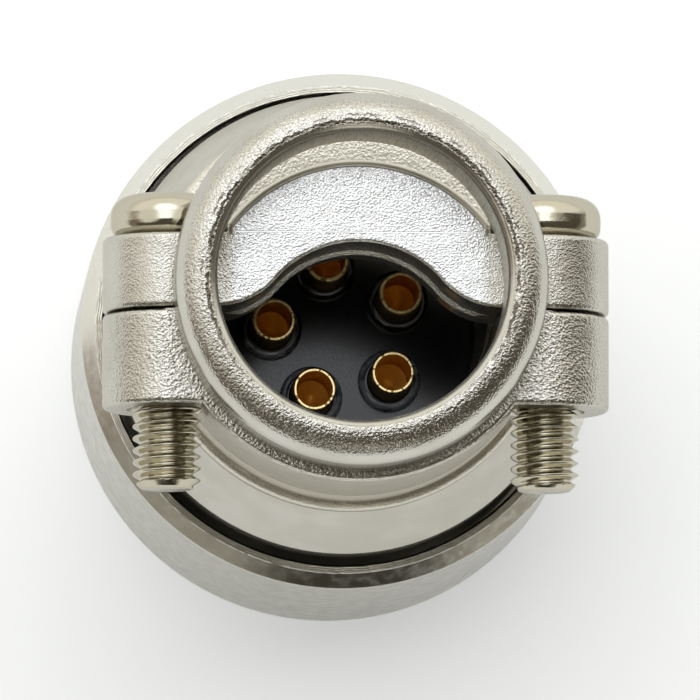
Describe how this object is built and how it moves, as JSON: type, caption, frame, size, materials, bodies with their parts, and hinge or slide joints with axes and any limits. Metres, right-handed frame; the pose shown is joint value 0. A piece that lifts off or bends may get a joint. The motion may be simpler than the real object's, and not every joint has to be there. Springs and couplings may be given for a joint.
{
  "type": "aviation plug connector",
  "caption": "Circular cable plug with a turning coupling nut, solder-cup contacts in a black insert and a two-screw saddle cable clamp behind an entry hoop.",
  "frame": {"origin": "centre of the mating rim, on the plug's axis, at the lowest point", "axes": "+Z along the plug's axis towards the cable entry, +Y towards the clamp screws' heads, +X to the right seen from the cable end with +Y up"},
  "size_m": [0.0308, 0.0308, 0.0435],
  "materials": {
    "cast_nickel": "satin nickel plate over a blasted zinc casting",
    "turned_nickel": "satin nickel plate over turned brass",
    "screw_nickel": "bright nickel-plated steel",
    "spring_steel": "plain spring steel",
    "insert_black": "moulded black thermoset",
    "contact_gold": "gold flash over turned brass",
    "gasket_rubber": "plain black rubber"
  },
  "bodies": {
    "shell": {"nut_washer": "spring_steel", "front_shell": "turned_nickel", "shell_gasket": "gasket_rubber", "rear_shell": "cast_nickel", "insert_front": "insert_black", "insert_rear": "insert_black", "insert_ring": "spring_steel", "contact_1": "contact_gold", "contact_2": "contact_gold", "contact_3": "contact_gold", "contact_4": "contact_gold", "contact_5": "contact_gold", "contact_sleeve_1": "spring_steel", "contact_sleeve_2": "spring_steel", "contact_sleeve_3": "spring_steel", "contact_sleeve_4": "spring_steel", "contact_sleeve_5": "spring_steel"},
    "nut": {"coupling_nut": "turned_nickel"},
    "saddle": {"clamp_saddle": "cast_nickel"},
    "screw_left": {"clamp_screw_left": "screw_nickel"},
    "screw_right": {"clamp_screw_right": "screw_nickel"}
  },
  "joints": [
    {"name": "nut_turn", "type": "hinge", "parent": "shell", "child": "nut", "pos_m": [0, 0, 0.0106], "axis": [0, 0, 1], "continuous": true},
    {"name": "saddle_lift", "type": "slide", "parent": "shell", "child": "saddle", "axis": [0, 1, 0], "range_m": [0, 0.0056]},
    {"name": "screw_left_turn", "type": "hinge", "parent": "saddle", "child": "screw_left", "pos_m": [-0.01098, 0, 0.0351], "axis": [0, 1, 0], "range_deg": [0, 2880]},
    {"name": "screw_right_turn", "type": "hinge", "parent": "saddle", "child": "screw_right", "pos_m": [0.01098, 0, 0.0351], "axis": [0, 1, 0], "range_deg": [0, 2880]}
  ],
  "couplings": [
    {"joint": "screw_left_turn", "follows": "saddle_lift", "rad_per_m": 8976},
    {"joint": "screw_right_turn", "follows": "saddle_lift", "rad_per_m": 8976}
  ]
}
